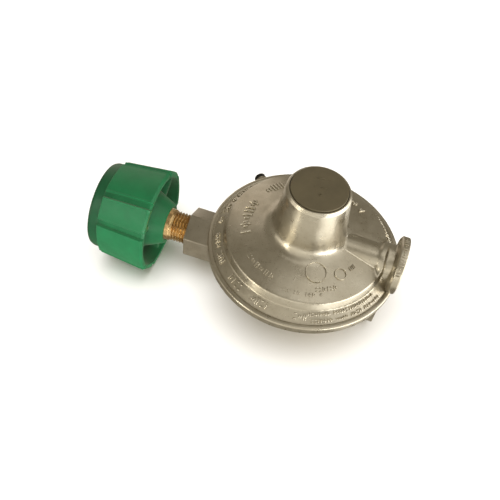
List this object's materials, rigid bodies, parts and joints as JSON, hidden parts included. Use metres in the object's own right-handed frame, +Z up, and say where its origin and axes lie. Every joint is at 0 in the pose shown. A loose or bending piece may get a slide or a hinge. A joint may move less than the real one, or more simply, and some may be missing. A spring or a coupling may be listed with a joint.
{
  "type": "propane regulator with coupling nut",
  "caption": "Single-stage propane pressure regulator: round die-cast body with a spring tower, flanged side vent, brass inlet nipple and a hand-turned coupling nut.",
  "frame": {"origin": "centre of the flat back face of the lower body", "axes": "+Z up the spring tower, +X towards the outlet and the vent, -X towards the inlet coupling nut"},
  "size_m": [0.1348, 0.083, 0.0744],
  "materials": {
    "zinc_casting": "tumbled die-cast zinc, satin",
    "brass": "machined",
    "green_plastic": "moulded, semi-matt",
    "dark_plastic": "moulded, fine texture",
    "spring_steel": "drawn wire",
    "plated_steel": "zinc plated",
    "black_steel": "black oxide",
    "rubber": "moulded",
    "acetal": "machined",
    "bushing_plastic": "moulded"
  },
  "bodies": {
    "root": {"lower_body": "zinc_casting", "bonnet": "zinc_casting", "test_port_plug": "black_steel", "vent_screen": "plated_steel", "vent_screen_ring": "spring_steel", "inlet_orifice": "brass", "inlet_filter": "brass", "inlet_nipple": "brass", "poppet_retainer": "spring_steel", "excess_flow_spring": "spring_steel", "lever_pin": "spring_steel"},
    "bushing": {"thermal_bushing": "bushing_plastic"},
    "nut": {"coupling_nut": "green_plastic"},
    "gasket": {"cap_gasket": "rubber"},
    "cap": {"closing_cap": "dark_plastic"},
    "button": {"spring_button": "plated_steel"},
    "adjuster": {"adjusting_screw": "brass"},
    "stem": {"relief_stem": "acetal", "relief_retainer": "plated_steel", "relief_spring": "spring_steel"},
    "diaphragm": {"diaphragm": "rubber", "diaphragm_plate": "plated_steel", "main_spring": "spring_steel"},
    "lever": {"lever": "plated_steel"},
    "valve": {"valve_stem": "acetal", "seat_disc": "rubber"},
    "poppet": {"excess_flow_poppet": "acetal"}
  },
  "joints": [
    {"name": "nut_slide", "type": "slide", "parent": "root", "child": "bushing", "axis": [1, 0, 0], "range_m": [0, 0.0045]},
    {"name": "nut_spin", "type": "hinge", "parent": "bushing", "child": "nut", "pos_m": [-0.08, 0, 0.015], "axis": [1, 0, 0], "continuous": true},
    {"name": "cap_travel", "type": "slide", "parent": "root", "child": "gasket", "axis": [0, 0, 1], "range_m": [0, 0.00525]},
    {"name": "cap_turn", "type": "hinge", "parent": "gasket", "child": "cap", "pos_m": [0, 0, 0.065], "axis": [0, 0, 1], "range_deg": [0, 1261]},
    {"name": "adjuster_travel", "type": "slide", "parent": "root", "child": "button", "axis": [0, 0, 1], "range_m": [-0.00375, 0.00225]},
    {"name": "adjuster_turn", "type": "hinge", "parent": "button", "child": "adjuster", "pos_m": [0, 0, 0.055], "axis": [0, 0, 1], "range_deg": [-901, 541]},
    {"name": "diaphragm_lift", "type": "slide", "parent": "root", "child": "stem", "axis": [0, 0, 1], "range_m": [0, 0.0024], "stiffness_N_per_m": 1200, "springref_m": -0.006, "deforming": ["diaphragm", "main_spring"]},
    {"name": "lever_swing", "type": "hinge", "parent": "root", "child": "lever", "pos_m": [-0.0137, 0, 0.009], "axis": [0, 1, 0], "range_deg": [-10.2, 0]},
    {"name": "valve_travel", "type": "slide", "parent": "root", "child": "valve", "axis": [-1, 0, 0], "range_m": [0, 0.00082]},
    {"name": "relief_lift", "type": "slide", "parent": "stem", "child": "diaphragm", "axis": [0, 0, 1], "range_m": [0, 0.0015], "stiffness_N_per_m": 3000, "springref_m": -0.004, "deforming": ["relief_spring"]},
    {"name": "excess_flow_close", "type": "slide", "parent": "root", "child": "poppet", "axis": [1, 0, 0], "range_m": [0, 0.004], "stiffness_N_per_m": 60, "springref_m": -0.003, "deforming": ["excess_flow_spring"]}
  ],
  "couplings": [
    {"joint": "cap_turn", "follows": "cap_travel", "rad_per_m": 4188.8},
    {"joint": "adjuster_turn", "follows": "adjuster_travel", "rad_per_m": 4188.8},
    {"joint": "lever_swing", "follows": "diaphragm_lift", "rad_per_m": -72.993},
    {"joint": "valve_travel", "follows": "diaphragm_lift", "ratio": 0.33577}
  ]
}
